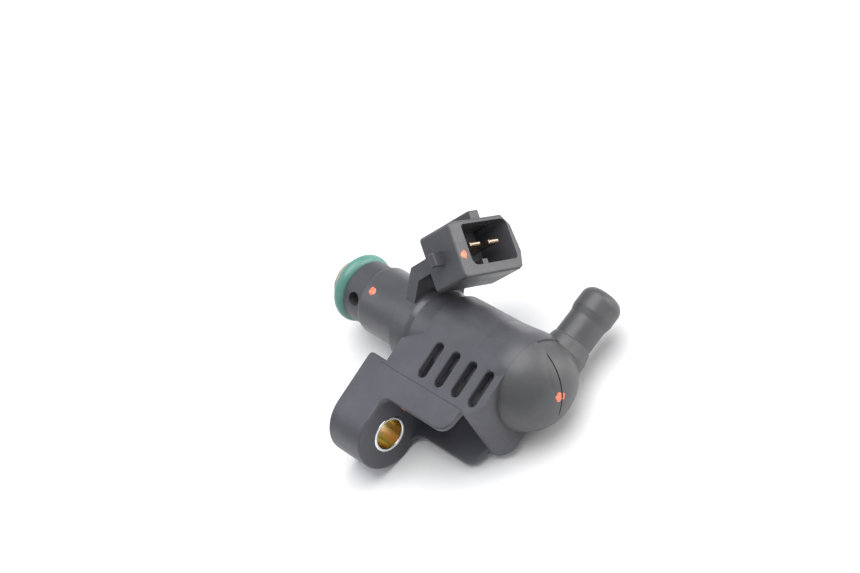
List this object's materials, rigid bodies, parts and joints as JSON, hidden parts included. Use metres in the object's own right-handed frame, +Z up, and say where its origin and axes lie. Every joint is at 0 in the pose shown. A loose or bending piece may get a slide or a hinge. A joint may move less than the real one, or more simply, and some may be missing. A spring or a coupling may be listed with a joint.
{
  "type": "fuel injector",
  "caption": "Side-entry fuel injector in a moulded black holder with a bolt flange, an angled electrical socket, a domed inlet elbow with a hose nipple and a sealed nozzle.",
  "frame": {"origin": "middle of the lower seal ring, on the injector axis", "axes": "+X along the injector from the nozzle to the inlet, +Z up with the part lying on its flange ear, holder and dome, +Y towards the hose nipple"},
  "size_m": [0.0675, 0.0567, 0.0358],
  "materials": {
    "housing": "glass-filled black nylon, satin",
    "elbow": "glass-filled black nylon, satin",
    "overmould": "black nylon, semi-gloss",
    "collar": "black nylon, matt",
    "inner_plastic": "natural nylon",
    "mesh": "woven wire",
    "bush_plating": "yellow zinc plate",
    "teal_rubber": "matt",
    "tinned": "tin plate",
    "copper": "enamelled copper wire",
    "steel": "turned",
    "tip_steel": "heat-tinted"
  },
  "bodies": {
    "injector": {"adjusting_tube": "steel", "backup_washer": "inner_plastic", "ball_guide": "steel", "coil_bobbin": "inner_plastic", "coil_winding": "copper", "filter_frame": "inner_plastic", "filter_mesh": "mesh", "fixed_core": "steel", "flux_washer": "steel", "holder_housing": "housing", "injector_overmould": "overmould", "inlet_elbow": "elbow", "inlet_tube": "steel", "lower_seal_ring": "teal_rubber", "magnet_housing": "steel", "mounting_bush": "bush_plating", "nonmagnetic_ring": "steel", "nozzle_shell": "tip_steel", "orifice_disc": "tip_steel", "return_spring": "steel", "seal_collar": "collar", "terminal_left": "tinned", "terminal_right": "tinned", "upper_seal_ring": "teal_rubber", "valve_seat": "steel"},
    "needle": {"armature": "steel", "needle_tube": "steel", "valve_ball": "steel"}
  },
  "joints": [
    {"name": "needle_lift", "type": "slide", "parent": "injector", "child": "needle", "axis": [1, 0, 0], "range_m": [0, 0.0001], "stiffness_N_per_m": 3000, "springref_m": -0.001, "deforming": ["return_spring"]}
  ]
}
